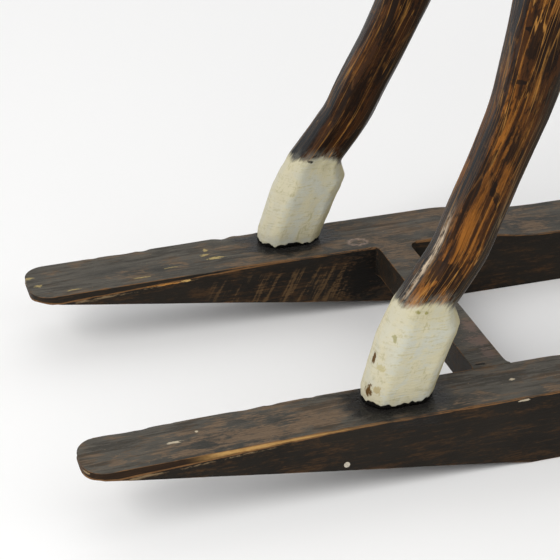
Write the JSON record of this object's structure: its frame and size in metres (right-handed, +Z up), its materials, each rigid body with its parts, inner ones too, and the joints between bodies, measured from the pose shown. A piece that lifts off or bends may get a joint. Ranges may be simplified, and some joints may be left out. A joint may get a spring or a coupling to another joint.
{
  "type": "wooden rocking horse",
  "caption": "Hand-carved dark wooden rocking horse with cream painted hooves, standing on long wedge-ended rockers joined by cross bars.",
  "frame": {"origin": "on the floor, under the middle of the rockers", "axes": "+X towards the tail, +Y towards the horse's right side, +Z up; the horse faces -X"},
  "size_m": [1.202, 0.3218, 0.9994],
  "materials": {
    "carved_wood": "satin, dark stain worn through to the amber grain, cream paint on the hooves",
    "rocker_wood": "satin, worn charcoal paint with brown wood showing at the arrises",
    "pale_nail": "dull, paint-smeared"
  },
  "bodies": {
    "root": {"rocker_left": "rocker_wood", "rocker_right": "rocker_wood", "crossbar_front": "rocker_wood", "crossbar_rear": "rocker_wood", "leg_front_left": "carved_wood", "leg_front_right": "carved_wood", "leg_rear_left": "carved_wood", "leg_rear_right": "carved_wood", "body": "carved_wood", "neck_and_head": "carved_wood", "tail": "carved_wood", "nail_rocker_left": "pale_nail"}
  },
  "joints": []
}
